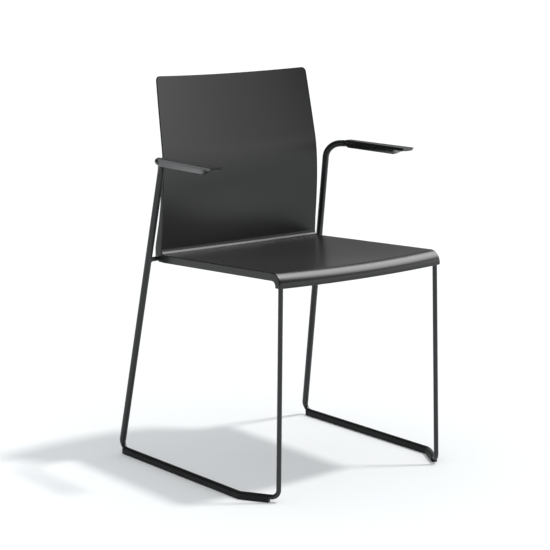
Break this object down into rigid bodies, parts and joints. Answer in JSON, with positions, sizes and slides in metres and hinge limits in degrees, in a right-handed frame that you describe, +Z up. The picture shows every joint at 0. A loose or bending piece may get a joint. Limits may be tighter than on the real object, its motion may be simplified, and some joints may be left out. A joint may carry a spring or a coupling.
{
  "type": "sled base armchair",
  "caption": "Stacking armchair: one-piece moulded seat and back shell on a bent steel sled frame with plastic armrests and runner glides.",
  "frame": {"origin": "on the floor, below the middle of the chair's overall width and depth", "axes": "+X towards the sitter's left, +Y towards the back, +Z up; the sitter faces -Y"},
  "size_m": [0.538, 0.5112, 0.8132],
  "materials": {
    "shell_plastic": "fine-grained semi-matt anthracite plastic",
    "pad_plastic": "smooth semi-matt black plastic",
    "glide_plastic": "matt black plastic",
    "frame_coat": "satin anthracite powder coat on steel",
    "screw_zinc": "zinc-plated steel"
  },
  "bodies": {
    "root": {"seat_shell": "shell_plastic", "left_side_frame": "frame_coat", "right_side_frame": "frame_coat", "front_cross_bar": "frame_coat", "rear_cross_bar": "frame_coat", "front_left_lug": "frame_coat", "front_right_lug": "frame_coat", "rear_left_lug": "frame_coat", "rear_right_lug": "frame_coat", "front_left_shell_screw": "screw_zinc", "front_right_shell_screw": "screw_zinc", "rear_left_shell_screw": "screw_zinc", "rear_right_shell_screw": "screw_zinc", "left_armrest_pad": "pad_plastic", "right_armrest_pad": "pad_plastic", "left_pad_front_screw": "screw_zinc", "left_pad_rear_screw": "screw_zinc", "right_pad_front_screw": "screw_zinc", "right_pad_rear_screw": "screw_zinc", "left_runner_glide": "glide_plastic", "right_runner_glide": "glide_plastic"}
  },
  "joints": []
}
